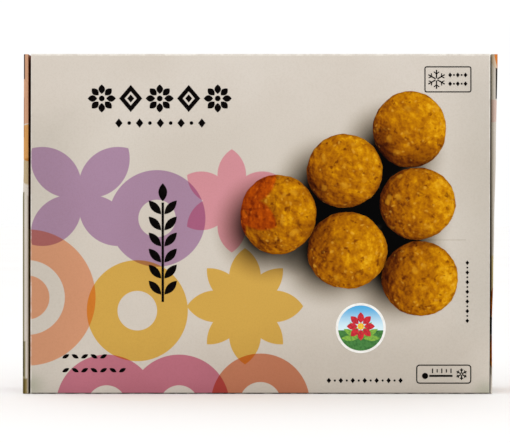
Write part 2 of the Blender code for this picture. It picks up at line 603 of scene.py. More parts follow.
@dataclass(frozen=True)
class SweetPicture:
    """How the print shows a sweet of roasted gram flour, rolled by hand.

    The eye sees a deep ochre ball of soft granules about two millimetres across,
    with pale grains and flakes, a few pits and short cracks, and a brown side
    turned from the light. Sizes are shares of the ball's radius. flatness is how
    much of the ball's depth its grain follows, because granules stand proud. Heights
    are compared a step apart, towards a light that leans from the eye by lean.
    facing is how much lighter the ball's middle is than its rim, as a share of the
    tones, and base is the tone that all of it has. cracked_patch, pit_range and
    fleck_edge are a pattern's values where its mark is whole and where it ends.
    """

    granule: float = 0.13
    lump: float = 0.36
    crack: float = 0.50
    flatness: float = 0.5
    step: float = 0.05
    lean: float = 0.8
    facing: float = 0.10
    base: float = 0.34
    patch_scale: float = 2.6
    patch_tone: float = 0.42
    stir: float = 0.3
    crack_width: float = 0.07
    crack_depth: float = 0.45
    cracked_patch: Pair = (0.36, 0.46)
    crack_tint: str = "#7a3c10"
    pit_fineness: float = 0.8
    pit_depth: float = 0.65
    pit_range: Pair = (0.30, 0.40)
    pit_tint: str = "#8a4a1c"
    fleck_edge: Pair = (0.15, 0.5)
    flecks: tuple[Flecks, ...] = (
        Flecks(0.12, 0.82, 0.45, "#dea434"),
        Flecks(0.26, 0.80, 0.5, "#d2941c"),
    )
    rim_depth: float = 0.4
    rim_from: float = 0.84
    rim_tint: str = "#8f7038"
    tones: tuple[tuple[float, str], ...] = (
        (0.12, "#3a0f00"),
        (0.35, "#713602"),
        (0.50, "#945302"),
        (0.66, "#ad6a02"),
        (0.78, "#bf7c01"),
        (0.88, "#d29107"),
        (1.00, "#e2a81c"),
    )

    @property
    def reliefs(self) -> tuple[Relief, ...]:
        """What stands up on the ball.

        Returns:
            The granules, the lumps and the granules' round tops.
        """
        return (
            Relief(NOISE, self.granule, 2.0, 0.57),
            Relief(NOISE, self.lump, 1.0, 0.83),
            Relief(CELLS, self.granule * 1.4, 0.0, -0.37, "SMOOTH_F1"),
        )

    def caught_light(self, tree: Tree, here: Socket, there: Socket) -> Socket:
        """Give how the granules catch the light, from two near points on the ball.

        Args:
            tree: The material's node tree.
            here: The point.
            there: A point a little nearer the light.

        Returns:
            Above zero where the surface faces the light.
        """
        total = 0.0
        for relief in self.reliefs:
            settings = {"feature": relief.feature} if relief.feature else {}
            grain = {"Scale": 1 / relief.size, "Detail": relief.detail}
            heights = [
                put(tree, relief.kind, {"Vector": spot, **grain}, **settings) for spot in (here, there)
            ]
            fall = put(tree, MATH, heights, operation="SUBTRACT")
            total = put(tree, MATH, (fall, relief.weight, total), operation="MULTIPLY_ADD")
        return total

    def flecked(self, tree: Tree, under: Socket, spot: Socket) -> Socket:
        """Strew pale grains and flakes.

        Args:
            tree: The material's node tree.
            under: The colour.
            spot: The point, in the ball's own pattern space.

        Returns:
            The colour with its flecks.
        """
        for fleck in self.flecks:
            cells = put(tree, CELLS, {"Vector": spot, "Scale": 1 / fleck.size}, "Distance")
            some = put(tree, PARTS, (cells.node.outputs["Color"],), "X")
            chosen = put(tree, MATH, (some, fleck.bare), operation="GREATER_THAN")
            near = put(tree, RANGE, (cells, *self.fleck_edge, fleck.cover, 0), **EASED)
            pale = put(tree, MATH, (near, chosen), operation="MULTIPLY")
            under = put(tree, MIX, {0: pale, 6: under, 7: linear(fleck.shown)}, 2, **COVER)
        return under

    def cracked(self, tree: Tree, under: Socket, spot: Socket, patch: Socket) -> Socket:
        """Draw short cracks in the darker patches.

        Args:
            tree: The material's node tree.
            under: The colour.
            spot: The point, in the ball's own pattern space.
            patch: How light its patch is.

        Returns:
            The colour with its cracks.
        """
        gap = put(tree, CELLS, {"Vector": spot, "Scale": 1 / self.crack}, feature="DISTANCE_TO_EDGE")
        line = put(tree, RANGE, (gap, 0.0, self.crack_width, self.crack_depth, 0))
        where = put(tree, RANGE, (patch, *self.cracked_patch, 1, 0), **EASED)
        split = put(tree, MATH, (line, where), operation="MULTIPLY")
        return put(tree, MIX, {0: split, 6: under, 7: linear(self.crack_tint)}, 2, **TINT)

    def colour(self, tree: Tree, local: Socket, sweet: Sweet) -> Socket:
        """Draw the sweet.

        Args:
            tree: The material's node tree.
            local: The point's place in the sweet, from -1 to 1 across and up.
            sweet: Which sweet it is.

        Returns:
            The printed colour.
        """
        flat = put(tree, VECTOR, (local, (1, 1, 0)), operation="MULTIPLY")
        square = put(tree, VECTOR, (flat, flat), "Value", operation="DOT_PRODUCT")
        room = put(tree, RANGE, (square, 0, 1, 1, 0))
        depth = put(tree, MATH, (room,), operation="SQRT")
        rise = put(tree, "ShaderNodeCombineXYZ", {"Z": depth})
        ball = put(tree, VECTOR, (flat, rise), operation="ADD")
        turn = math.radians(sweet.lit_from)
        side = (math.cos(turn), math.sin(turn))
        light = Vector((self.lean * side[0], self.lean * side[1], math.sqrt(1 - self.lean**2)))
        slope = (sweet.tilt * side[0], sweet.tilt * side[1], self.facing)
        lit = put(tree, VECTOR, (ball, slope), "Value", operation="DOT_PRODUCT")
        draw = random.Random(sweet.seed)
        bulge = put(tree, VECTOR, (rise, (1, 1, self.flatness), flat), operation="MULTIPLY_ADD")
        here = put(tree, VECTOR, (bulge, [draw.uniform(5, 50) for _ in range(3)]), operation="ADD")
        there = put(tree, VECTOR, (here, (light * self.step)[:]), operation="ADD")
        patch = put(tree, NOISE, {"Vector": here, "Scale": self.patch_scale, "Detail": 2.0})
        stir = put(tree, NOISE, {"Vector": here, "Scale": 1 / self.lump}, "Color")
        spot = put(tree, VECTOR, (stir, (self.stir,) * 3, here), operation="MULTIPLY_ADD")
        level = put(tree, MATH, (lit, self.base), operation="ADD")
        level = put(tree, MATH, (patch, self.patch_tone, level), operation="MULTIPLY_ADD")
        level = put(tree, MATH, (level, self.caught_light(tree, here, there)), operation="ADD")
        body = put(tree, "ShaderNodeValToRGB", (level,))
        self.set_tones(body.node.color_ramp)
        body = self.cracked(tree, self.flecked(tree, body, spot), spot, patch)
        fine = self.pit_fineness / self.granule
        pits = put(tree, NOISE, {"Vector": there, "Scale": fine, "Detail": 3.0})
        dark = put(tree, RANGE, (pits, *self.pit_range, self.pit_depth, 0), **EASED)
        body = put(tree, MIX, {0: dark, 6: body, 7: linear(self.pit_tint)}, 2, **TINT)
        rim = put(tree, RANGE, (square, self.rim_from, 1.0, 0, self.rim_depth), **EASED)
        return put(tree, MIX, {0: rim, 6: body, 7: linear(self.rim_tint)}, 2, **TINT)

    def set_tones(self, ramp: bpy.types.ColorRamp) -> None:
        """Write the picture's tones into a colour ramp.

        Args:
            ramp: The new ramp, with its two first colours.
        """
        ramp.elements.remove(ramp.elements[-1])
        ramp.elements[0].position, ramp.elements[0].color = self.tones[0][0], linear(self.tones[0][1])
        for position, hex_code in self.tones[1:]:
            ramp.elements.new(position).color = linear(hex_code)


# The finishes


class Finish:
    """What a surface is. A subclass gives its colour, and its relief if it has one."""

    name: str
    plain: dict[str, float]
    relief_depth = 0.0

    def colour(self, tree: Tree) -> Socket:
        """Give the surface's colour."""
        raise NotImplementedError

    def relief(self, tree: Tree) -> Socket:
        """Give the surface's height, from 0 to about 1."""
        raise NotImplementedError

    def build(self) -> bpy.types.Material:
        """Make the material.

        Returns:
            The material, with its colour, gloss and relief.
        """
        material = bpy.data.materials.new(self.name)
        material.use_nodes = True
        tree = material.node_tree
        shader = tree.nodes["Principled BSDF"]
        for key, value in self.plain.items():
            shader.inputs[key].default_value = value
        tree.links.new(self.colour(tree), shader.inputs["Base Color"])
        if self.relief_depth:
            height = {"Height": self.relief(tree), "Distance": self.relief_depth}
            tree.links.new(put(tree, "ShaderNodeBump", height), shader.inputs["Normal"])
        return material


@dataclass(frozen=True)
class Mottled(Finish):
    """A finish of two near colours in an uneven mixture, grain_mm across."""

    name: str
    first: str
    second: str
    grain_mm: float
    roughness: float
    gloss: float

    # The grain's values where the first colour ends and the second is whole
    BLEND = (0.4, 0.66)

    @property
    def plain(self) -> dict[str, float]:
        """What is the same all over."""
        return {"Roughness": self.roughness, "Specular IOR Level": self.gloss}

    def colour(self, tree: Tree) -> Socket:
        """Mix the two colours by an uneven grain.

        Args:
            tree: The material's node tree.

        Returns:
            The surface's colour.
        """
        spot = put(tree, "ShaderNodeTexCoord", output="Object")
        grain = put(tree, NOISE, {"Vector": spot, "Scale": per_metre(self.grain_mm), "Detail": 4.0})
        share = put(tree, RANGE, (grain, *self.BLEND, 0, 1), **EASED)
        return put(tree, MIX, {0: share, 6: linear(self.first), 7: linear(self.second)}, 2, **COVER)


# The unprinted inside of the board: recycled grey pulp, matt and flecked
GREY_BACK = Mottled("grey_back_pulp", "#857b70", "#62594f", grain_mm=0.9, roughness=0.9, gloss=0.3)
# A die-cut edge of the board: pressed fibre, paler than the inside
CUT_EDGE = Mottled("cut_board_edge", "#d6cec2", "#b3a99c", grain_mm=0.5, roughness=0.85, gloss=0.3)
# Solid black offset ink, dull and very slightly uneven
BLACK_INK = Mottled("black_offset_ink", "#040202", "#0a0706", grain_mm=1.6, roughness=0.6, gloss=0.02)
# The seal: bright glossy inks on a white paper label
SEAL_PAPER = Mottled("seal_white_paper", "#f3f2ee", "#e9e7e1", grain_mm=2.0, roughness=0.5, gloss=0.3)
SEAL_GREEN = Mottled("seal_green_ink", "#43803a", "#2f6a2c", grain_mm=1.2, roughness=0.45, gloss=0.25)
SEAL_LEAF = Mottled("seal_leaf_ink", "#86b440", "#5d9636", grain_mm=1.0, roughness=0.45, gloss=0.25)
SEAL_RED = Mottled("seal_red_ink", "#cf2330", "#a81826", grain_mm=1.0, roughness=0.45, gloss=0.25)
SEAL_YELLOW = Mottled("seal_yellow_ink", "#f2c436", "#e2a922", grain_mm=0.8, roughness=0.45, gloss=0.25)
# The studio floor: matt white board, barely clouded
STUDIO_FLOOR = Mottled(
    "white_floor_board", "#f8f7f6", "#f6f5f4", grain_mm=600.0, roughness=0.9, gloss=0.05
)


@dataclass(frozen=True)
class SealSky(Finish):
    """Blue ink on the seal that fades to pale at the horizon, in metres up the panel."""

    low: float
    high: float

    name = "seal_sky_ink"
    plain = {"Roughness": 0.45, "Specular IOR Level": 0.25}

    def colour(self, tree: Tree) -> Socket:
        """Fade the blue from the seal's top down to the horizon.

        Args:
            tree: The material's node tree.

        Returns:
            The surface's colour.
        """
        up = put(tree, PARTS, (put(tree, "ShaderNodeTexCoord", output="Object"),), "Z")
        share = put(tree, RANGE, (up, self.low, self.high, 0, 1), **EASED)
        return put(tree, MIX, {0: share, 6: linear("#d5edf4"), 7: linear("#4aa8dc")}, 2, **COVER)


@dataclass(frozen=True)
class PrintedBoard(Finish):
    """Folding boxboard, offset printed in transparent inks under a satin varnish.

    The eye sees a warm grey ground with a faint cloudy lay, a fine tooth in the
    varnish, and pale fibre where folds and cut edges have lost their ink, which on
    an upper fold is partly a painted highlight. folds gives each fold's place, the
    pale line's width and how pale it turns at most.
    """

    name: str
    fields: tuple[InkField, ...] = ()
    shade: CastShade | None = None
    sweets: tuple[Sweet, ...] = ()
    cut_ends: float = 0.0
    folds: tuple[tuple[float, float, float], ...] = ()
    ground: str = "#d2cac0"
    cloud: str = "#ccc3b8"

    plain = {"Roughness": 0.45, "Specular IOR Level": 0.03}
    relief_depth = 0.000006
    CLOUD_MM = 55.0
    TOOTH_MM = 0.7
    PEEL_MM = 7.0
    PEEL_HEIGHT = 2.5
    RUB_MM = 3.0
    # The patterns' values where the second colour or the wear starts and is whole
    CLOUD_RANGE = (0.3, 0.7)
    TOOTH_RANGE = (0.4, 0.7)
    RUB_RANGE = (0.35, 0.65)
    TOOTH_TINT = "#f0eeea"
    TOOTH_DEPTH = 0.3
    # Pale fibre, and on an upper fold partly a painted highlight
    FIBRE_AND_HIGHLIGHT = "#e6e1d8"
    # The cut ends' wear, as its width and how much ink it has lost at most, and the
    # share of that which is lost at least
    END_WEAR = (0.5, 0.6)
    LEAST_WEAR = 0.25
    # Where a pictured sweet's edge starts to give way to the board, from its middle
    SWEET_EDGE = 0.985

    def colour(self, tree: Tree) -> Socket:
        """Lay the inks, the sweets and the wear over the clouded ground.

        Args:
            tree: The material's node tree.

        Returns:
            The surface's colour.
        """
        sheet = put(tree, "ShaderNodeUVMap", uv_map=SHEET_UV)
        spot = put(tree, "ShaderNodeTexCoord", output="Object")
        ground = linear(self.ground)
        cloud = put(tree, NOISE, {"Vector": spot, "Scale": per_metre(self.CLOUD_MM)})
        share = put(tree, RANGE, (cloud, *self.CLOUD_RANGE, 0, 1), **EASED)
        colour = put(tree, MIX, {0: share, 6: ground, 7: linear(self.cloud)}, 2, **COVER)
        for field in self.fields:
            colour = field.printed(tree, colour, sheet, ground)
        if self.shade:
            colour = self.shade.printed(tree, colour, sheet)
        for sweet in self.sweets:
            local = sweet_place(tree, sheet, sweet)
            away = put(tree, VECTOR, (local,), "Value", operation="LENGTH")
            inside = put(tree, RANGE, (away, self.SWEET_EDGE, 1.0, 1, 0))
            picture = SweetPicture().colour(tree, local, sweet)
            colour = put(tree, MIX, {0: inside, 6: colour, 7: picture}, 2, **COVER)
        colour = self.worn_and_highlit(tree, colour, sheet, spot)
        share = put(tree, RANGE, (self.tooth(tree), *self.TOOTH_RANGE, 0, self.TOOTH_DEPTH), **EASED)
        return put(tree, MIX, {0: share, 6: colour, 7: linear(self.TOOTH_TINT)}, 2, **TINT)

    def worn_and_highlit(self, tree: Tree, under: Socket, sheet: Socket, spot: Socket) -> Socket:
        """Show pale fibre along the cut ends and, more faintly, along the folds, with a painted
        highlight mixed in on an upper fold.

        Args:
            tree: The material's node tree.
            under: The printed colour.
            sheet: The point's place on the sheet.
            spot: The point, in metres.

        Returns:
            The colour with its wear.
        """
        rub = put(tree, NOISE, {"Vector": spot, "Scale": per_metre(self.RUB_MM), "Detail": 4.0})
        lines = []
        if self.cut_ends:
            lines.append(("X", 0.0, self.cut_ends, *self.END_WEAR))
        lines += [("Y", fold, 0.0, width, most) for fold, width, most in self.folds]
        for axis, middle, reach, width, most in lines:
            off = put(tree, MATH, (put(tree, PARTS, (sheet,), axis), middle), operation="SUBTRACT")
            side = put(tree, MATH, (off,), operation="ABSOLUTE")
            away = put(tree, MATH, (side, reach), operation="SUBTRACT")
            near = put(tree, MATH, (away,), operation="ABSOLUTE")
            line = put(tree, RANGE, (near, width / 2, width, 1, 0), **EASED)
            lost = put(tree, RANGE, (rub, *self.RUB_RANGE, self.LEAST_WEAR * most, most), **EASED)
            share = put(tree, MATH, (line, lost), operation="MULTIPLY")
            under = put(tree, MIX, {0: share, 6: under, 7: linear(self.FIBRE_AND_HIGHLIGHT)}, 2, **COVER)
        return under

    def tooth(self, tree: Tree) -> Socket:
        """Give the fine tooth of the varnish."""
        spot = put(tree, "ShaderNodeTexCoord", output="Object")
        return put(tree, NOISE, {"Vector": spot, "Scale": per_metre(self.TOOTH_MM), "Detail": 3.0})

    def relief(self, tree: Tree) -> Socket:
        """Add the varnish's slight orange peel to its tooth.

        Args:
            tree: The material's node tree.

        Returns:
            The surface's height.
        """
        spot = put(tree, "ShaderNodeTexCoord", output="Object")
        peel = put(tree, NOISE, {"Vector": spot, "Scale": per_metre(self.PEEL_MM)})
        return put(tree, MATH, (peel, self.PEEL_HEIGHT, self.tooth(tree)), operation="MULTIPLY_ADD")


def sweet_place(tree: Tree, sheet: Socket, sweet: Sweet) -> Socket:
    """Turn a place on the sheet to one in a sweet.

    Args:
        tree: The material's node tree.
        sheet: The point's place on the sheet.
        sweet: The sweet.

    Returns:
        The place, from -1 to 1 across and up.
    """
    size = (1 / sweet.wide, 1 / sweet.high, 1)
    middle = (-sweet.x / sweet.wide, -sweet.up / sweet.high, 0)
    return put(tree, "ShaderNodeMapping", (sheet, middle, None, size))


@dataclass(frozen=True)
class SweetFilm(Finish):
    """The inks of one pictured sweet, browned where it meets its neighbours."""

    sweet: Sweet
    neighbours: CastShade
    overprint: InkField

    plain = {"Roughness": 0.5, "Specular IOR Level": 0.03}
    # How deep the browning is, and what the pink ink makes of white
    CONTACT_DEPTH = 0.78
    RUDDY = "#f4a878"

    @property
    def name(self) -> str:
        """The material's name."""
        return f"sweet_print_{self.sweet.seed}"

    def colour(self, tree: Tree) -> Socket:
        """Draw the sweet with the browning by its neighbours, and the overprint if any.

        Args:
            tree: The material's node tree.

        Returns:
            The surface's colour.
        """
        sheet = put(tree, "ShaderNodeUVMap", uv_map=SHEET_UV)
        local = sweet_place(tree, sheet, self.sweet)
        colour = SweetPicture().colour(tree, local, self.sweet)
        colour = self.neighbours.printed(tree, colour, sheet, self.CONTACT_DEPTH)
        if self.sweet.overprinted:
            share = self.overprint.share(tree, sheet)
            colour = put(tree, MIX, {0: share, 6: colour, 7: linear(self.RUDDY)}, 2, **TINT)
        return colour


# The sheet's print: common flowers and rings in the inks' colours

PINK_FIELD = InkField(
    "#d19099",
    (Blossom(-13.0, 88.0, 23.5, 13.0, (30.0, 90.0)), Disc(-13.0, 88.0, 6.5)),
)
# The same ink over a sweet, where it ends less sharply
SOFT_PINK = InkField(PINK_FIELD.shown, PINK_FIELD.figures, 1.6)
# Each one's place, reach across and up, seed, light's angle and strength, and cast
SWEETS = (
    Sweet(68.0, 120.5, 16.8, 17.3, 11, 41.0, 0.26, (-8.5, -10.7)),
    Sweet(38.3, 101.6, 17.3, 16.7, 12, 31.0, 0.20, (-8.2, -8.2)),
    Sweet(71.5, 86.8, 17.3, 16.4, 13, 8.0, 0.30, (-9.0, -5.5)),
    Sweet(8.1, 81.8, 17.3, 18.1, 14, 34.0, 0.15, (-4.8, -5.6), overprinted=True),
    Sweet(39.5, 65.4, 18.0, 17.6, 15, 3.0, 0.21, (-8.2, -0.2)),
    Sweet(72.6, 52.6, 17.5, 16.9, 16, 0.0, 0.29, (-10.1, 3.9)),
)
# Where no light gets between the sweets
DEEP_GAPS = InkField(
    "#010000",
    (
        Disc(58.5, 105.5, 6.0),
        Bar(57.0, 97.0, 6.5, 16.0),
        Disc(52.0, 85.5, 9.0),
        Bar(39.0, 84.0, 26.0, 5.0),
        Disc(27.0, 82.5, 7.0),
        Disc(24.8, 75.5, 2.6),
        Disc(61.0, 71.5, 7.5),
        Disc(70.0, 70.5, 3.0),
        Bar(57.6, 63.0, 4.5, 14.0),
    ),
    2.0,
)
# The inks that run on over the lower crease and the base
FOOT_FIELDS = (
    InkField("#bb7181", (Ring(-70.0, -5.0, 9.0, 23.0), Ring(-37.0, -5.0, 9.0, 23.0))),
    InkField("#c07c5e", (Ring(0.0, -4.0, 9.5, 22.5), Disc(0.0, -4.0, 4.5))),
)
FRONT_FIELDS = (
    # Painted shade: the ground darkens faintly from the top to the lower part, the ends, the foot and
    # the lower corners
    InkField("#cec6bb", (Bar(0.0, 40.0, 400.0, 170.0),), 40.0),
    InkField("#c9c2b8", (Bar(-112.0, 60.0, 48.0, 130.0), Bar(112.0, 88.0, 40.0, 116.0)), 26.0),
    InkField("#cbc3b9", (Bar(10.0, 0.0, 170.0, 44.0),), 24.0),
    InkField("#c2bab0", (Bar(0.0, -5.0, 260.0, 10.0),), 24.0),
    InkField("#b9b6a6", (Disc(-104.0, 4.0, 4.0), Disc(103.0, 0.0, 5.0)), 9.0),
    InkField(
        "#a686a0",
        (
            Blossom(-82.0, 90.0, 31.0, 18.0),
            Disc(-82.0, 90.0, 5.0),
            Ring(-47.0, 80.0, 8.5, 22.0),
        ),
    ),
    PINK_FIELD,
    InkField("#d19674", (Ring(-106.0, 44.0, 17.0, 31.0), Disc(-106.0, 44.0, 10.0))),
    InkField(
        "#cfa54e",
        (
            Ring(-56.0, 38.0, 9.0, 23.0),
            Blossom(-7.0, 40.0, 26.5, 14.5, (0.0, 90.0)),
            Blossom(-7.0, 40.0, 24.5, 11.0),
        ),
    ),
    *FOOT_FIELDS,
    DEEP_GAPS,
    # A scuff, and painted shade along the underside of the lower crease
    InkField("#b2a898", (Bar(85.0, 70.2, 17.0, 0.2),), 0.5),
    InkField("#35291c", (Bar(0.0, -0.15, 212.0, 1.5),), 0.5),
)
END_SWEETS = (
    Sweet(34.5, 41.6, 14.0, 13.6, 21, 160.0),
    Sweet(35.0, 18.5, 13.4, 13.0, 22, 170.0),
    Sweet(13.5, 29.0, 13.8, 13.8, 23, 30.0),
)
END_GAP = InkField("#010000", (Disc(27.0, 30.0, 6.5), Bar(38.0, 30.4, 18.0, 5.0)), 2.0)
LEFT_END_FIELDS = (
    InkField("#cb9b7c", (Disc(43.0, 153.0, 30.0), Ring(4.0, 60.0, 9.0, 20.0))),
    InkField("#cf985a", (Disc(49.0, 114.5, 8.6), Blossom(14.0, 100.0, 20.0, 10.0, (0.0, 90.0)))),
    InkField("#b8a482", (Disc(49.0, 101.5, 6.4),), 1.0),
    InkField("#a686a0", (Blossom(24.0, 24.0, 22.0, 12.0), Disc(24.0, 24.0, 4.0))),
    # Painted shade along the fold, deepest at its ends, and in the slot, where the tuck is darkened
    # above and tinted pale ochre below
    InkField("#33200f", (Bar(44.9, 150.0, 1.9, 13.0),), 0.6),
    InkField("#8a6a50", (Bar(44.7, 126.0, 1.4, 18.0),), 0.8),
    InkField("#77704f", (Bar(44.7, 50.0, 1.8, 84.0),), 0.7),
    InkField("#8a8260", (Bar(44.8, 7.0, 2.6, 34.0),), 0.8),
    InkField("#8f7d50", (Bar(45.2, 1.0, 3.6, 12.0),), 1.2),
    InkField("#948770", (Bar(51.0, 35.0, 7.6, 110.0),), 1.6),
    InkField("#8a5f46", (Bar(56.6, 120.0, 18.0, 90.0),), 0.6),
    InkField("#d8bf86", (Bar(56.6, 41.0, 18.0, 68.0),), 0.6),
)
RIGHT_END_FIELDS = (
    InkField("#e2bea6", (Disc(26.0, 162.0, 24.0),)),
    InkField("#e08340", (Disc(20.5, 158.0, 25.8), Ring(10.0, 122.0, 8.0, 18.0))),
    InkField("#dcb8ae", (Disc(47.0, 129.0, 5.2),)),
    InkField("#d19099", (Blossom(16.0, 84.0, 20.0, 11.0, (30.0, 90.0)),)),
    END_GAP,
    # Painted shade on the fold and along the slot's lip, darkest low down, with a pale tan tint on the
    # lip above that
    InkField("#120c08", (Bar(44.8, 141.5, 1.3, 14.0),), 0.6),
    InkField("#7d745e", (Bar(50.0, 82.0, 6.8, 146.0),), 3.0),
    InkField("#d8c090", (Bar(48.6, 51.0, 8.0, 24.0),), 1.2),
    InkField("#2a1e12", (Bar(48.6, 33.0, 8.0, 12.0),), 1.2),
    InkField("#6a4636", (Bar(48.6, 20.0, 8.0, 14.0),), 1.2),
)
BACK_FIELDS = (
    InkField("#a686a0", (Blossom(78.0, 118.0, 27.0, 15.0), Ring(44.0, 130.0, 7.0, 17.0))),
    InkField("#d19099", (Ring(84.0, 76.0, 8.0, 20.0),)),
    InkField("#cfa54e", (Blossom(50.0, 92.0, 23.0, 13.0, (0.0, 90.0)), Disc(50.0, 92.0, 4.0))),
    InkField("#bb7181", (Ring(96.0, 22.0, 9.0, 22.0),)),
    InkField("#c07c5e", (Ring(58.0, 2.0, 9.0, 22.0), Disc(58.0, 2.0, 4.0))),
)
TOP_FIELDS = (
    InkField("#a686a0", (Ring(-92.0, 176.0, 8.0, 18.0),)),
    InkField("#cfa54e", (Ring(88.0, 180.0, 8.0, 19.0), Disc(88.0, 180.0, 4.0))),
    InkField("#d19099", (Blossom(62.0, 182.0, 18.0, 10.0, (0.0, 90.0)),)),
)


# The folded pieces


@dataclass
class Sleeve:
    """The sleeve's four panels, each a folded sheet with the board's thickness.

    trims gives how far the front panel's left and right cut ends stand back from
    the end creases, at its foot and at its top. lower_wear gives the width in
    millimetres of the lower crease's wear, and how much ink it has lost, and
    upper_wear_and_highlight the same for the upper crease, whose pale line is wear
    and partly a painted highlight.
    cell is the grid's spacing. A dust flap has a neck as wide as the panel, then
    narrows to dust_share of it and is shifted back by dust_shift.
    """

    blank: Blank
    inside: bpy.types.Material
    edge: bpy.types.Material
    cell: float = 0.005
    glue_flap: float = 0.014
    dust_flap: float = 0.030
    dust_neck: float = 0.0018
    dust_share: float = 0.72
    dust_shift: float = 0.0045
    dust_crease: float = 0.1043
    trims: tuple[Pair, Pair] = ((0.0003, 0.0007), (0.0006, 0.0003))
    lower_wear: Pair = (0.35, 0.45)
    upper_wear_and_highlight: Pair = (0.9, 0.85)

    @property
    def narrow_width(self) -> float:
        """The width of the top and the base between their dust flaps' creases."""
        return 2 * (self.dust_crease - self.blank.crease)

    @property
    def narrow_start(self) -> float:
        """The Y at which the top and the base leave the front panel's lips."""
        return self.blank.front + self.blank.crease + self.blank.lip

    def sheet(self, width: float, length: float, turn: Matrix, centre: Point) -> Mesh:
        """Start a flat panel.

        Args:
            width: Its size along X.
            length: Its size across X.
            turn: How it is turned from lying flat.
            centre: Where its middle goes.

        Returns:
            The panel's mesh.
        """
        across, along = (round(size / self.cell) for size in (width, length))
        bm = bmesh.new()
        bmesh.ops.create_grid(bm, x_segments=across, y_segments=along, size=0.5)
        bmesh.ops.scale(bm, vec=(width, length, 1), verts=bm.verts)
        bmesh.ops.rotate(bm, cent=(0, 0, 0), matrix=turn, verts=bm.verts)
        bmesh.ops.translate(bm, vec=centre, verts=bm.verts)
        return bm

    def make(
        self, name: str, bm: Mesh, out: Point, place: Callable[[Vector], Place], finish: PrintedBoard
    ) -> Piece:
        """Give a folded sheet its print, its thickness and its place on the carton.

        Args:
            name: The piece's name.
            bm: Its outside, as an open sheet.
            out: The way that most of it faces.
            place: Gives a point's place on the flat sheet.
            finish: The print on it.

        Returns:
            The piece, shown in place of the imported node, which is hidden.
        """
        bmesh.ops.recalc_face_normals(bm, faces=bm.faces[:])
        if sum(face.normal.dot(Vector(out)) * face.calc_area() for face in bm.faces) < 0:
            bmesh.ops.reverse_faces(bm, faces=bm.faces[:])
        layer = bm.loops.layers.uv.new(SHEET_UV)
        for face in bm.faces:
            for loop in face.loops:
                loop[layer].uv = place(loop.vert.co)
        piece = object_from(name, bm, (finish.build(), self.inside, self.edge))
        wall = piece.modifiers.new("board", "SOLIDIFY")
        wall.thickness = self.blank.board
        wall.offset = -1
        wall.use_even_offset = True
        wall.material_offset = 1
        wall.material_offset_rim = 2
        graph = bpy.context.evaluated_depsgraph_get()
        mesh = bpy.data.meshes.new_from_object(piece.evaluated_get(graph), depsgraph=graph)
        piece.modifiers.clear()
        piece.data = mesh
        mesh.shade_smooth()
        mesh.set_sharp_from_angle(angle=SHARP_ANGLE)
        put_on_carton(piece)
        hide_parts(NODE)
        return piece

    def swell(self, bm: Mesh, face_y: float, surface: Callable[[float, float], float]) -> None:
        """Move a large panel's flat points out to its swollen surface.

        Args:
            bm: The mesh.
            face_y: Where the panel's flat points are.
            surface: Gives the panel's Y at a point across and up.
        """
        for vert in bm.verts:
            if abs(vert.co.y - face_y) < NEAR:
                vert.co.y = surface(vert.co.x, vert.co.z)

    def front_panel(self) -> Piece:
        """The front panel, with both creases and a narrow lip past each.

        Returns:
            The panel.
        """
        blank = self.blank
        crease = blank.crease
        turn = Matrix.Rotation(math.pi / 2, 3, "X")
        middle = (0, blank.front, blank.height / 2)
        bm = self.sheet(blank.width, blank.height - 2 * crease, turn, middle)
        inner = blank.front + crease
        top = blank.height - crease
        upper = folded(bm, edges_at(bm, 2, top), (0, inner, top), (1, 0, 0), -90)
        run_on(bm, upper, (0, blank.lip, 0))
        lower = folded(bm, edges_at(bm, 2, crease), (0, inner, crease), (1, 0, 0), 90)
        run_on(bm, lower, (0, blank.lip, 0))
        self.swell(bm, blank.front, blank.front_y)
        low, high = (Vector(ends) for ends in self.trims)
        for vert in bm.verts:
            left, right = low.lerp(high, vert.co.z / blank.height)
            across = vert.co.x / blank.width + 0.5
            vert.co.x += left * (1 - across) - right * across
        half_crease = crease * math.pi / 4
        folds = (
            ((crease - half_crease) / MM, *self.lower_wear),
            # The upper crease's pale line: wear, and partly a painted highlight
            ((top + half_crease) / MM, *self.upper_wear_and_highlight),
        )
        mean_trim = (low + high).dot(Vector((1, 1))) / 4
        end = (blank.width / 2 - mean_trim) / MM
        finish = PrintedBoard("front_print", FRONT_FIELDS, CastShade(SWEETS), cut_ends=end, folds=folds)
        return self.make("front_panel", bm, (0, -1, 0), blank.sheet_place, finish)

    def dust_flaps(self, bm: Mesh, z: float, down: int) -> None:
        """Crease both ends of a narrow panel and run the dust flaps inwards.

        Args:
            bm: The panel's mesh.
            z: The panel's height.
            down: -1 where the flaps hang from it, 1 where they stand on it.
        """
        crease = self.blank.crease
        for side in (-1, 1):
            x = side * (self.dust_crease - crease)
            ends = [edge for edge in edges_at(bm, 0, x) if abs(edge.verts[0].co.z - z) < NEAR]
            bent = folded(bm, ends, (x, 0, z + down * crease), (0, 1, 0), -side * down * 90)
            neck = run_on(bm, bent, (0, 0, down * self.dust_neck))
            tip = run_on(bm, neck, (0, 0, down * self.dust_flap))
            for vert in {vert for edge in neck + tip for vert in edge.verts}:
                vert.co.y = vert.co.y * self.dust_share + self.dust_shift

    def top_panel(self) -> Piece:
        """The top panel between the large panels' creases, with its dust flaps.

        Returns:
            The panel.
        """
        blank = self.blank
        length = -2 * self.narrow_start
        bm = self.sheet(self.narrow_width, length, Matrix.Identity(3), (0, 0, blank.height))
        self.dust_flaps(bm, blank.height, -1)
        finish = PrintedBoard("top_print", TOP_FIELDS)
        return self.make("top_panel", bm, (0, 0, 1), blank.sheet_place, finish)

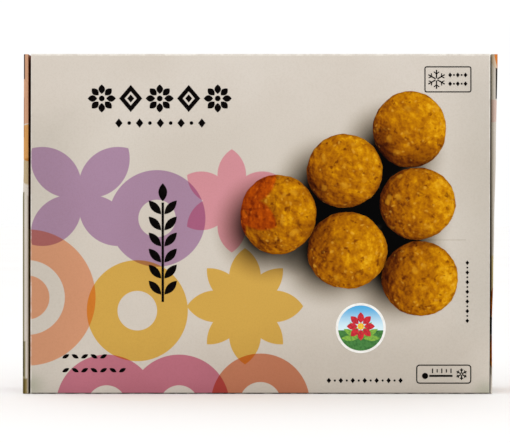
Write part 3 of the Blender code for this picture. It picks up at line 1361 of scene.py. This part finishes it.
    def base_panel(self) -> Piece:
        """The base, flat to stand on, with its dust flaps and the glue flap.

        Returns:
            The panel.
        """
        blank = self.blank
        start = self.narrow_start
        stop = blank.depth / 2 - blank.board - blank.crease
        turn = Matrix.Rotation(math.pi, 3, "X")
        bm = self.sheet(self.narrow_width, stop - start, turn, (0, (start + stop) / 2, 0))
        bent = folded(bm, edges_at(bm, 1, stop), (0, stop, blank.crease), (1, 0, 0), 90)
        run_on(bm, bent, (0, 0, self.glue_flap))
        self.dust_flaps(bm, 0.0, 1)
        finish = PrintedBoard("base_print", FOOT_FIELDS)
        return self.make("base_panel", bm, (0, 0, -1), blank.sheet_place, finish)

    def back_panel(self) -> Piece:
        """The back panel, from its cut lower edge over the glue flap to the top crease.

        Returns:
            The panel.
        """
        blank = self.blank
        top = blank.height - blank.crease
        width = blank.width - 2 * (blank.crease + blank.lip)
        turn = Matrix.Rotation(-math.pi / 2, 3, "X")
        bm = self.sheet(width, top - blank.seam, turn, (0, blank.depth / 2, (top + blank.seam) / 2))
        inner = blank.depth / 2 - blank.crease
        upper = folded(bm, edges_at(bm, 2, top), (0, inner, top), (1, 0, 0), 90)
        run_on(bm, upper, (0, -blank.lip, 0))
        self.swell(bm, blank.depth / 2, blank.back_y)
        finish = PrintedBoard("back_print", BACK_FIELDS)
        return self.make("back_panel", bm, (0, 1, 0), back_place, finish)

    def build(self) -> list[Piece]:
        """Make the four panels."""
        return [self.front_panel(), self.top_panel(), self.base_panel(), self.back_panel()]


class Side(Enum):
    """Which end of the carton a flap closes."""

    LEFT = -1
    RIGHT = 1


@dataclass
class EndFlap:
    """An end flap: hinged on the back panel, bowed across the end, tucked in at the front.

    reaches gives, at heights from the base up, how far it stands past the front
    panel's edge, in metres. spare is the room that the slot leaves between the two
    boards, tuck_inset how far the tuck's end is cut back above and below, and
    lip_mm where the slot's lip lies on the flap's print. roll_share is the most of
    the reach past the slot that the roll takes. The steps are a curve's sides in
    plan, and stations its levels from the base up.
    """

    sleeve: Sleeve
    side: Side
    reaches: tuple[Pair, ...]
    finish: PrintedBoard
    tuck_y: float = -0.0203
    tuck_depth: float = 0.0016
    tuck_width: float = 0.0012
    slot: float = 0.00075
    tuck_inset: float = 0.0025
    spare: float = 0.0001
    lip_mm: float = 47.45
    roll_share: float = 0.6
    bow_steps: int = 14
    roll_steps: int = 8
    stations: int = 40

    # The tuck behind the roll: slot widths outwards, metres outwards and metres in
    # from the roll's front. It springs back, then lies behind the front panel.
    TUCK = (
        (1.00, 0.0, 0.0004),
        (0.95, 0.0, 0.0030),
        (0.80, 0.0, 0.0070),
        (0.30, 0.0, 0.0090),
        (0.0, -0.0010, 0.0094),
        (0.0, -0.0026, 0.0074),
        (0.0, -0.0050, 0.0025),
        (0.0, -0.0080, 0.0008),
        (0.0, -0.0150, 0.0005),
    )
    # How many of its last points lie behind the front panel
    TUCKED = 5

    def reach_at(self, z: float) -> float:
        """Give how far the flap stands past the front panel's edge.

        Args:
            z: The height.

        Returns:
            The reach, eased between the heights that reaches gives.
        """
        for (low, first), (high, second) in zip(self.reaches, self.reaches[1:]):
            if z <= high:
                way = max((z - low) / (high - low), 0.0)
                return first + (second - first) * way * way * (3 - 2 * way)
        return self.reaches[-1][1]

    def plan(self, reach: float) -> list[Place]:
        """The flap's outside in plan, from its lip on the back to the tuck's free edge.

        Args:
            reach: How far it stands past the front panel's edge.

        Returns:
            Points as (outwards, y), in metres.
        """
        blank = self.sleeve.blank
        crease = blank.crease
        back = blank.depth / 2
        points = [(-crease - blank.lip, back)]
        for index in range(CREASE_STEPS + 1):
            turn = math.pi / 2 * index / CREASE_STEPS
            points.append((-crease + crease * math.sin(turn), back - crease + crease * math.cos(turn)))
        start = back - crease
        for index in range(1, self.bow_steps):
            way = index / self.bow_steps
            points.append((reach * math.sin(way * math.pi / 2), start + (self.tuck_y - start) * way))
        slot = min(self.slot, reach - 2 * blank.board - self.spare)
        roll = min(self.tuck_width, self.roll_share * (reach - slot))
        for index in range(self.roll_steps + 1):
            turn = math.pi / 2 * index / self.roll_steps
            outwards = reach - roll * (1 - math.cos(turn))
            points.append((outwards, self.tuck_y - self.tuck_depth * math.sin(turn)))
        low = self.tuck_y - self.tuck_depth
        return points + [(share * slot + out, low + inwards) for share, out, inwards in self.TUCK]

    def set_out(self, bm: Mesh, verts: list[Vert], z: float) -> None:
        """Put one level's points where the flap's plan has them.

        Args:
            bm: The mesh, whose layers hold each point's number in the plan and its
                length along the board.
            verts: The level's points.
            z: The level's height before the tuck's end is cut back.
        """
        blank = self.sleeve.blank
        order = bm.verts.layers.int["order"]
        length = bm.verts.layers.float["length"]
        low = blank.end_gap
        high = blank.height - blank.end_gap
        plan = self.plan(self.reach_at(z))
        runs = [0.0]
        for first, second in zip(plan, plan[1:]):
            runs.append(runs[-1] + math.dist(first, second))
        start = self.lip_mm * MM - runs[-len(self.TUCK)]
        for vert in verts:
            outwards, y = plan[vert[order]]
            inset = self.tuck_inset if vert[order] >= len(plan) - self.TUCKED else 0.0
            height = low + inset + (z - low) * (high - low - 2 * inset) / (high - low)
            vert.co = (self.side.value * (blank.width / 2 + outwards), y, height)
            vert[length] = start + runs[vert[order]]

    def build(self) -> list[Piece]:
        """Make the flap, drawn up through its heights from its lower edge.

        Returns:
            The flap alone.
        """
        blank = self.sleeve.blank
        low = blank.end_gap
        high = blank.height - blank.end_gap
        bm = bmesh.new()
        order = bm.verts.layers.int.new("order")
        length = bm.verts.layers.float.new("length")
        verts = [bm.verts.new() for _ in self.plan(self.slot)]
        for index, vert in enumerate(verts):
            vert[order] = index
        edges = [bm.edges.new(pair) for pair in zip(verts, verts[1:])]
        self.set_out(bm, verts, low)
        for station in range(1, self.stations + 1):
            grown = bmesh.ops.extrude_edge_only(bm, edges=edges)["geom"]
            edges = [item for item in grown if isinstance(item, Edge)]
            verts = [item for item in grown if isinstance(item, Vert)]
            self.set_out(bm, verts, low + (high - low) * station / self.stations)
        places = {tuple(vert.co): (vert[length] / MM, vert.co.z / MM) for vert in bm.verts}
        name = f"{self.side.name.lower()}_flap"
        out = (self.side.value, 0, 0)
        return [self.sleeve.make(name, bm, out, lambda co: places[tuple(co)], self.finish)]


# The ink films laid on the board


class Panel(Enum):
    """Which panel a mark is printed on."""

    FRONT = "front"
    BACK = "back"
    TOP = "top"


@dataclass
class Press:
    """Lays flat shapes on a panel as films of ink.

    A shape is drawn in millimetres, across and up, and then follows the panel's
    swell, for which a drawing with an edge longer than span_mm is cut into strips.
    A film is sunk a little into the board, so that no gap shows under it.
    """

    blank: Blank
    sink: float = 0.00005
    span_mm: float = 9.0

    # Closer than this, in millimetres, a cut runs through a drawing's own point
    SNAP_MM = 1e-4

    def surface(self, panel: Panel, x: float, up: float, out: float) -> Vector:
        """Find the point above a place on a panel.

        Args:
            panel: The panel.
            x: Across from its middle, in metres.
            up: Up from its lower crease, in metres.
            out: How far above the board, in metres.

        Returns:
            The point in the carton's frame.
        """
        blank = self.blank
        if panel is Panel.FRONT:
            return Vector((x, blank.front_y(x, up) - out, up))
        if panel is Panel.BACK:
            return Vector((-x, blank.back_y(-x, up) + out, up))
        return Vector((x, up, blank.height + out))

    def cut_long_shapes(self, bm: Mesh) -> None:
        """Cut a drawing with long edges both ways, at most a span apart.

        Args:
            bm: The drawing.
        """
        if max(edge.calc_length() for edge in bm.edges) <= self.span_mm:
            return
        for axis, normal in enumerate((Vector((1, 0, 0)), Vector((0, 1, 0)))):
            places = [vert.co[axis] for vert in bm.verts]
            low, high = min(places), max(places)
            strips = math.ceil((high - low) / self.span_mm)
            for index in range(1, strips):
                place = normal * (low + (high - low) * index / strips)
                whole = bm.verts[:] + bm.edges[:] + bm.faces[:]
                bmesh.ops.bisect_plane(
                    bm, geom=whole, plane_co=place, plane_no=normal, dist=self.SNAP_MM
                )

    def lay(
        self,
        name: str,
        bm: Mesh,
        material: bpy.types.Material,
        panel: Panel = Panel.FRONT,
        lift: float = 0.00007,
    ) -> Piece:
        """Turn flat shapes into films on a panel.

        Args:
            name: The piece's name.
            bm: The shapes, drawn in millimetres.
            material: The ink.
            panel: Where they are printed.
            lift: How far their tops stand above the board, in metres.

        Returns:
            The films, as one piece.
        """
        self.cut_long_shapes(bm)
        layer = bm.loops.layers.uv.new(SHEET_UV)
        for face in bm.faces:
            for loop in face.loops:
                loop[layer].uv = loop.vert.co.xy
        grown = bmesh.ops.extrude_face_region(bm, geom=bm.faces[:])["geom"]
        raised = {item for item in grown if isinstance(item, Vert)}
        for vert in bm.verts:
            out = lift if vert in raised else -self.sink
            vert.co = self.surface(panel, vert.co.x * MM, vert.co.y * MM, out)
        bmesh.ops.recalc_face_normals(bm, faces=bm.faces[:])
        piece = object_from(name, bm, (material,))
        put_on_carton(piece)
        return piece


def moved(bm: Mesh, verts: list[Vert], centre: Place, degrees: float = 0.0) -> list[Vert]:
    """Turn new points about the drawing's origin and move them to a place.

    Args:
        bm: The drawing.
        verts: The points.
        centre: Where the origin's own point goes.
        degrees: How far to turn, anticlockwise.

    Returns:
        The same points.
    """
    turn = Matrix.Rotation(math.radians(degrees), 3, "Z")
    bmesh.ops.rotate(bm, cent=(0, 0, 0), matrix=turn, verts=verts)
    bmesh.ops.translate(bm, vec=(*centre, 0), verts=verts)
    return verts


def draw_round(bm: Mesh, centre: Place, wide: float, high: float, sides: int = 24) -> list[Vert]:
    """Draw a disc, an oval or, with four sides, a lozenge.

    Args:
        bm: The drawing.
        centre: Where it goes.
        wide: Its size across.
        high: Its size up.
        sides: How many sides it has.

    Returns:
        Its points.
    """
    verts = bmesh.ops.create_circle(bm, cap_ends=True, segments=sides, radius=0.5)["verts"]
    bmesh.ops.scale(bm, vec=(wide, high, 1), verts=verts)
    return moved(bm, verts, centre)


def draw_leaf(
    bm: Mesh, centre: Place, length: float, width: float, degrees: float, start: float = 0.0
) -> list[Vert]:
    """Draw a pointed leaf that grows upwards from a place, turned by an angle.

    Args:
        bm: The drawing.
        centre: Where it grows from.
        length: Its length.
        width: Its greatest width.
        degrees: How far it is turned from upright.
        start: How far from the place its near tip is.

    Returns:
        Its points.
    """
    verts = bmesh.ops.create_circle(bm, cap_ends=True, segments=20, radius=0.5)["verts"]
    for vert in verts:
        vert.co.x *= width * math.sqrt(max(1 - (2 * vert.co.y) ** 2, 0.0))
        vert.co.y = (vert.co.y + 0.5) * length + start
    return moved(bm, verts, centre, degrees)


def draw_bar(bm: Mesh, centre: Place, wide: float, high: float, degrees: float = 0.0) -> list[Vert]:
    """Draw a straight bar.

    Args:
        bm: The drawing.
        centre: Where its middle goes.
        wide: Its size across.
        high: Its size up.
        degrees: How far it is turned about its middle.

    Returns:
        Its points.
    """
    verts = bmesh.ops.create_grid(bm, x_segments=1, y_segments=1, size=0.5)["verts"]
    bmesh.ops.scale(bm, vec=(wide, high, 1), verts=verts)
    return moved(bm, verts, centre, degrees)


def leave_outline(bm: Mesh, verts: list[Vert], line: float) -> None:
    """Leave only the outline of a shape that was just drawn.

    Args:
        bm: The drawing.
        verts: The shape's points.
        line: The outline's width.
    """
    faces = list({face for vert in verts for face in vert.link_faces})
    bmesh.ops.inset_individual(bm, faces=faces, thickness=line, use_even_offset=True)
    bmesh.ops.delete(bm, geom=faces, context="FACES")


def draw_frame(bm: Mesh, centre: Place, wide: float, high: float, corner: float, line: float) -> None:
    """Draw a thin frame with round corners.

    Args:
        bm: The drawing.
        centre: Its middle.
        wide: Its size across.
        high: Its size up.
        corner: How far its corners are rounded off.
        line: The line's width.
    """
    verts = draw_bar(bm, centre, wide, high)
    made = bmesh.ops.bevel(
        bm, geom=verts, offset=corner, segments=5, profile=0.5, affect="VERTICES", material=-1
    )
    leave_outline(bm, made["verts"], line)


def draw_rosette(bm: Mesh, centre: Place, size: float) -> None:
    """Draw a round flower of petals about a dot.

    Args:
        bm: The drawing.
        centre: Its middle.
        size: Its size across.
    """
    petals = 8
    draw_round(bm, centre, wide=size * 0.2, high=size * 0.2, sides=16)
    for index in range(petals):
        turn = 360 / petals * index
        draw_leaf(bm, centre, length=size * 0.33, width=size * 0.23, degrees=turn, start=size * 0.16)


def draw_lozenge(bm: Mesh, centre: Place, wide: float, high: float, line: float) -> None:
    """Draw a lozenge's outline about a small solid lozenge."""
    leave_outline(bm, draw_round(bm, centre, wide, high, sides=4), line)
    draw_round(bm, centre, wide=wide * 0.3, high=high * 0.3, sides=4)


def draw_snowflake(bm: Mesh, centre: Place, size: float, line: float) -> None:
    """Draw a six-armed snowflake, with a pair of twigs on each arm.

    Args:
        bm: The drawing.
        centre: Its middle.
        size: Its size across.
        line: An arm's width.
    """
    reach = size / 2
    arms = 6
    for arm in range(arms):
        verts = draw_bar(bm, (0, reach * 0.56), wide=line, high=reach * 0.88)
        for lean in (-52, 52):
            twig = draw_bar(bm, (0, reach * 0.2), wide=line * 0.8, high=reach * 0.32)
            verts = verts + moved(bm, moved(bm, twig, (0, 0), lean), (0, reach * 0.58))
        moved(bm, verts, centre, 360 / arms * arm)


def draw_beads(bm: Mesh, start: Place, way: Place, count: int, size: float) -> None:
    """Draw a line of small lozenges with dots between them.

    Args:
        bm: The drawing.
        start: The first one's middle.
        way: The step from each to the next.
        count: How many there are, dots included.
        size: The lozenges' size.
    """
    for index in range(count):
        centre = (start[0] + way[0] * index, start[1] + way[1] * index)
        if index % 2:
            draw_round(bm, centre, wide=size * 0.4, high=size * 0.4, sides=12)
        else:
            draw_round(bm, centre, wide=size * 0.8, high=size, sides=4)


def draw_band(bm: Mesh, start: Place, step: float, count: int, size: float) -> None:
    """Draw a row of rosettes with lozenges between them.

    Args:
        bm: The drawing.
        start: The first rosette's middle.
        step: The distance from each to the next.
        count: How many there are in all.
        size: The rosettes' size.
    """
    for index in range(count):
        centre = (start[0] + step * index, start[1])
        if index % 2:
            draw_lozenge(bm, centre, wide=size * 0.81, high=size * 0.95, line=size * 0.146)
        else:
            draw_rosette(bm, centre, size)


@dataclass
class Marks:
    """The black ornaments, with places in millimetres."""

    press: Press
    ink: bpy.types.Material

    def title_rows(self) -> Piece:
        """A heavy row of rosettes and lozenges over a fine row of beads.

        Returns:
            The films.
        """
        bm = bmesh.new()
        draw_band(bm, (-72.2, 134.6), step=13.2, count=5, size=13.0)
        draw_beads(bm, (-64.4, 123.4), way=(4.72, 0), count=9, size=4.2)
        return self.press.lay("title_rows", bm, self.ink)

    def sprig(self) -> Piece:
        """An upright sprig with paired leaves.

        Returns:
            The films.
        """
        bm = bmesh.new()
        x, low, stem = -44.4, 42.0, 45.2
        draw_bar(bm, (x, low + stem / 2), wide=1.1, high=stem)
        for index in range(6):
            for side in (-1, 1):
                foot = (x + side * 0.75, low + 3.4 + 7.3 * index)
                draw_leaf(bm, foot, length=8.4, width=3.5, degrees=-side * 42)
        draw_leaf(bm, (x, low + stem + 0.6), length=8.2, width=4.0, degrees=0)
        return self.press.lay("sprig", bm, self.ink)

    def snow_frame(self) -> Piece:
        """A thin frame at the upper right with a snowflake and beads.

        Returns:
            The films.
        """
        bm = bmesh.new()
        draw_frame(bm, (85.4, 143.3), wide=21.4, high=11.9, corner=1.0, line=0.5)
        draw_snowflake(bm, (80.2, 143.3), size=8.6, line=0.55)
        for up in (145.3, 141.3):
            draw_beads(bm, (86.4, up), way=(1.75, 0), count=5, size=2.2)
        return self.press.lay("snow_frame", bm, self.ink)

    def leaf_rows(self) -> Piece:
        """Two short rows of small leaves at the lower left.

        Returns:
            The films.
        """
        bm = bmesh.new()
        for count, up in ((5, 17.2), (7, 10.9)):
            for index in range(count):
                turn = 62 if index % 2 else 118
                middle = (-88.6 + 4.3 * index, up)
                draw_leaf(bm, middle, length=3.6, width=1.7, degrees=turn, start=-1.8)
        return self.press.lay("leaf_rows", bm, self.ink)

    def cold_frame(self) -> Piece:
        """A rounded frame at the lower right with a thermometer and a snowflake.

        Returns:
            The films.
        """
        bm = bmesh.new()
        draw_frame(bm, (83.5, 9.1), wide=25.1, high=8.7, corner=1.5, line=0.5)
        draw_round(bm, (75.0, 8.3), wide=2.8, high=2.8, sides=20)
        draw_bar(bm, (82.2, 8.3), wide=10.6, high=0.9)
        for index in range(5):
            tick = 1.5 if index % 2 else 2.1
            draw_bar(bm, (78.4 + 2.1 * index, 10.6), wide=0.5, high=tick)
        draw_snowflake(bm, (91.6, 9.1), size=5.2, line=0.5)
        return self.press.lay("cold_frame", bm, self.ink)

    def fine_rows(self) -> Piece:
        """Fine beads along the foot of the panel and up its right edge.

        Returns:
            The films.
        """
        bm = bmesh.new()
        draw_beads(bm, (31.2, 6.2), way=(2.72, 0), count=13, size=2.5)
        draw_beads(bm, (94.2, 33.4), way=(0, 2.2), count=13, size=2.1)
        return self.press.lay("fine_rows", bm, self.ink)

    def back_table(self) -> Piece:
        """A ruled table with nothing in it, with ornaments over and under it.

        Returns:
            The films.
        """
        bm = bmesh.new()
        x, up, wide, high = -62.0, 82.0, 62.0, 70.0
        frame_line, rule, row_step = 0.7, 0.4, 10.0
        draw_frame(bm, (x, up), wide, high, corner=1.5, line=frame_line)
        for index in range(7):
            row = up - high / 2 + row_step * index
            if index:
                draw_bar(bm, (x, row), wide=wide - 2 * frame_line, high=rule)
            draw_bar(bm, (x + 14.0, row + row_step / 2), wide=rule, high=9.2)
        draw_band(bm, (-84.0, 132.0), step=11.0, count=5, size=10.0)
        for index in range(4):
            start = (-92.0, 38.0 - 7.0 * index)
            draw_beads(bm, start, way=(2.9, 0), count=21 - 2 * index, size=2.5)
        return self.press.lay("back_table", bm, self.ink, Panel.BACK)

    def top_row(self) -> Piece:
        """A row of rosettes and lozenges along the top.

        Returns:
            The films.
        """
        bm = bmesh.new()
        draw_band(bm, (-36.0, 0.0), step=12.0, count=7, size=11.0)
        return self.press.lay("top_row", bm, self.ink, Panel.TOP)

    def build(self) -> list[Piece]:
        """Print every ornament.

        Returns:
            The ornaments, in the order in which they are printed.
        """
        return [
            self.title_rows(),
            self.sprig(),
            self.snow_frame(),
            self.leaf_rows(),
            self.cold_frame(),
            self.fine_rows(),
            self.back_table(),
            self.top_row(),
        ]


@dataclass
class PicturedSweets:
    """The printed sweets, each a film with its own slightly uneven outline.

    waves gives how many times each kind of bump goes round a sweet. Its height is a
    part of unevenness, and falls with its number by the power fineness. Each film
    lies a little higher than the last, by lift_step metres, because they touch.
    """

    press: Press
    sweets: tuple[Sweet, ...]
    unevenness: float = 0.011
    fineness: float = 0.3
    waves: tuple[int, ...] = (2, 3, 5, 8, 13, 21, 34)
    sides: int = 160
    lift: float = 0.00006
    lift_step: float = 0.000006

    def bumps(self, seed: int) -> list[tuple[int, float, float]]:
        """Draw a sweet's bumps.

        Args:
            seed: The sweet's own seed.

        Returns:
            For each kind, its number, its size and the angle that it starts from.
        """
        draw = random.Random(seed)
        return [(count, draw.uniform(0.4, 1.0), draw.uniform(0, 2 * math.pi)) for count in self.waves]

    def stretch(self, bumps: list[tuple[int, float, float]], angle: float) -> float:
        """Give how far out an outline is, as a share of the radius.

        Args:
            bumps: The sweet's bumps.
            angle: Where on the outline.

        Returns:
            About one.
        """
        heights = [
            size / count**self.fineness * math.cos(count * angle + phase) for count, size, phase in bumps
        ]
        return 1 + self.unevenness * sum(heights)

    def build(self) -> list[Piece]:
        """Print each sweet.

        Returns:
            The sweets' films.
        """
        pieces = []
        for index, sweet in enumerate(self.sweets):
            bumps = self.bumps(sweet.seed)
            bm = bmesh.new()
            bmesh.ops.create_circle(bm, cap_ends=True, cap_tris=True, segments=self.sides, radius=1.0)
            hub = min(bm.verts, key=lambda vert: vert.co.length)
            bmesh.ops.subdivide_edges(bm, edges=list(hub.link_edges), cuts=3)
            for vert in bm.verts:
                stretch = self.stretch(bumps, math.atan2(vert.co.y, vert.co.x))
                vert.co = (vert.co.x * sweet.wide * stretch, vert.co.y * sweet.high * stretch, 0)
            moved(bm, bm.verts[:], (sweet.x, sweet.up))
            others = tuple(other for other in self.sweets if other is not sweet)
            browning = CastShade(others, full=-5.0, gone=9.5, notch=5.5, thrown=-0.3, warmth="#f0b890")
            ink = SweetFilm(sweet, browning, SOFT_PINK).build()
            lift = self.lift + self.lift_step * index
            pieces.append(self.press.lay(f"sweet_{index + 1}", bm, ink, lift=lift))
        return pieces


@dataclass
class Seal:
    """A round paper seal with a plain flower between sky and meadow.

    Places and sizes are in millimetres, with the paper's bare rim and the horizon's
    height over the middle. paper and ink are how high the label and each layer of
    ink on it stand, in metres.
    """

    press: Press
    x: float = 45.7
    up: float = 30.1
    radius: float = 11.4
    rim: float = 1.1
    horizon: float = -1.0
    paper: float = 0.00012
    ink: float = 0.00003

    def lay(self, name: str, bm: Mesh, finish: Finish, layer: int) -> Piece:
        """Lay one colour of the seal on those under it."""
        return self.press.lay(name, bm, finish.build(), lift=self.paper + self.ink * layer)

    def half(self, upper: bool) -> Mesh:
        """Draw one part of the seal's inner disc.

        Args:
            upper: Whether it is the part above the horizon.

        Returns:
            The drawing.
        """
        bm = bmesh.new()
        size = 2 * (self.radius - self.rim)
        draw_round(bm, (self.x, self.up), wide=size, high=size, sides=64)
        whole = bm.verts[:] + bm.edges[:] + bm.faces[:]
        line = (0, self.up + self.horizon, 0)
        bmesh.ops.bisect_plane(
            bm, geom=whole, plane_co=line, plane_no=(0, 1, 0), clear_inner=upper, clear_outer=not upper
        )
        return bm

    def build(self) -> list[Piece]:
        """Make the seal from its paper up.

        Returns:
            The paper and each colour's film.
        """
        paper = bmesh.new()
        draw_round(paper, (self.x, self.up), wide=2 * self.radius, high=2 * self.radius, sides=72)
        low = (self.up + self.horizon) * MM
        sky = SealSky(low, low + self.radius * MM)
        leaves = bmesh.new()
        for lean in (-90, -62, -34, 34, 62, 90):
            foot = (self.x, self.up - 4.6)
            draw_leaf(leaves, foot, length=7.6, width=2.6, degrees=lean, start=1.2)
        petals = bmesh.new()
        middle = (self.x, self.up + 0.8)
        for turn in range(0, 360, 45):
            draw_leaf(petals, middle, length=4.9, width=3.0, degrees=turn, start=1.5)
        eye = bmesh.new()
        draw_round(eye, middle, wide=3.0, high=3.0, sides=20)
        return [
            self.lay("seal_paper", paper, SEAL_PAPER, 0),
            self.lay("seal_sky", self.half(True), sky, 1),
            self.lay("seal_meadow", self.half(False), SEAL_GREEN, 1),
            self.lay("seal_leaves", leaves, SEAL_LEAF, 2),
            self.lay("seal_petals", petals, SEAL_RED, 3),
            self.lay("seal_eye", eye, SEAL_YELLOW, 3),
        ]


# The room


@dataclass
class Studio:
    """A plain pale floor, soft light and the camera.

    The pixel values are the front panel's width and the place of its middle in a
    picture 510 pixels wide, right of and below the picture's own middle. The key
    light has its size and place in metres, and aims at a share of the panel's height.
    """

    blank: Blank
    distance: float = 0.90
    picture_px: float = 510.0
    panel_px: float = 461.2
    right_px: float = 5.35
    below_px: float = 2.4
    sensor: float = 36.0
    floor_radius: float = 30.0
    wall_light: float = 1.0
    zenith_light: float = 0.12
    key_watts: float = 0.35
    key_size: Pair = (0.5, 0.25)
    key_place: Point = (-0.05, -0.40, 0.50)
    key_aim: float = 0.8

    def camera(self) -> None:
        """Look level at the front panel, which keeps its place and size in the picture."""
        metres_per_px = self.blank.width / self.panel_px
        data = bpy.data.cameras.new("camera")
        data.sensor_width = self.sensor
        data.lens = self.sensor * self.distance / (self.picture_px * metres_per_px)
        data.clip_start = 0.01
        made = bpy.data.objects.new("camera", data)
        x = -self.right_px * metres_per_px
        z = self.blank.height / 2 + self.below_px * metres_per_px
        made.location = (x, self.blank.front - self.distance, z)
        made.rotation_euler = (math.pi / 2, 0, 0)
        bpy.context.scene.collection.objects.link(made)
        bpy.context.scene.camera = made

    def floor(self) -> None:
        """A wide white floor."""
        bm = bmesh.new()
        bmesh.ops.create_circle(bm, cap_ends=True, segments=96, radius=self.floor_radius)
        object_from("floor", bm, (STUDIO_FLOOR.build(),))

    def walls(self) -> None:
        """White walls all round, a little brighter above."""
        world = bpy.data.worlds.new("studio")
        bpy.context.scene.world = world
        world.use_nodes = True
        tree = world.node_tree
        way = put(tree, "ShaderNodeTexCoord", output="Generated")
        above = put(tree, MATH, (put(tree, PARTS, (way,), "Z"), 0.0), operation="MAXIMUM")
        level = put(tree, MATH, (above, self.zenith_light, self.wall_light), operation="MULTIPLY_ADD")
        wall = tree.nodes["Background"]
        wall.inputs["Color"].default_value = linear("#ffffff")
        tree.links.new(level, wall.inputs["Strength"])

    def key_light(self) -> None:
        """A soft light over the camera, aimed at the upper part of the front panel."""
        data = bpy.data.lights.new("key", "AREA")
        data.shape = "RECTANGLE"
        data.size, data.size_y = self.key_size
        data.energy = self.key_watts
        made = bpy.data.objects.new("key", data)
        made.location = self.key_place
        aim = Vector((0, self.blank.front, self.blank.height * self.key_aim)) - made.location
        made.rotation_euler = aim.to_track_quat("-Z", "Y").to_euler()
        bpy.context.scene.collection.objects.link(made)

    def build(self) -> None:
        """Set up the room."""
        bpy.context.scene.view_settings.view_transform = "Standard"
        self.camera()
        self.floor()
        self.walls()
        self.key_light()


def main() -> None:
    """Build the room, the carton and its print, and report each piece."""
    logging.basicConfig(level=logging.INFO, format="%(name)s %(message)s")
    blank = Blank.from_frame()
    Studio(blank).build()
    sleeve = Sleeve(blank, GREY_BACK.build(), CUT_EDGE.build())
    left_reaches = ((0.0, 0.0034), (0.088, 0.0034), (0.102, 0.0030), (blank.height, 0.0029))
    right_reaches = (
        (0.0, 0.0008),
        (0.030, 0.0007),
        (0.055, 0.0013),
        (0.075, 0.0017),
        (0.111, 0.0025),
        (blank.height, 0.0033),
    )
    left_print = PrintedBoard("left_end_print", LEFT_END_FIELDS)
    right_print = PrintedBoard("right_end_print", RIGHT_END_FIELDS, CastShade(END_SWEETS), END_SWEETS)
    press = Press(blank)
    assemblies = (
        sleeve,
        EndFlap(sleeve, Side.LEFT, left_reaches, left_print),
        EndFlap(sleeve, Side.RIGHT, right_reaches, right_print, slot=0.0003),
        PicturedSweets(press, SWEETS),
        Marks(press, BLACK_INK.build()),
        Seal(press),
    )
    for assembly in assemblies:
        for piece in assembly.build():
            LOG.info("%s: %d faces", piece.name, len(piece.data.polygons))


if __name__ == "__main__":
    main()
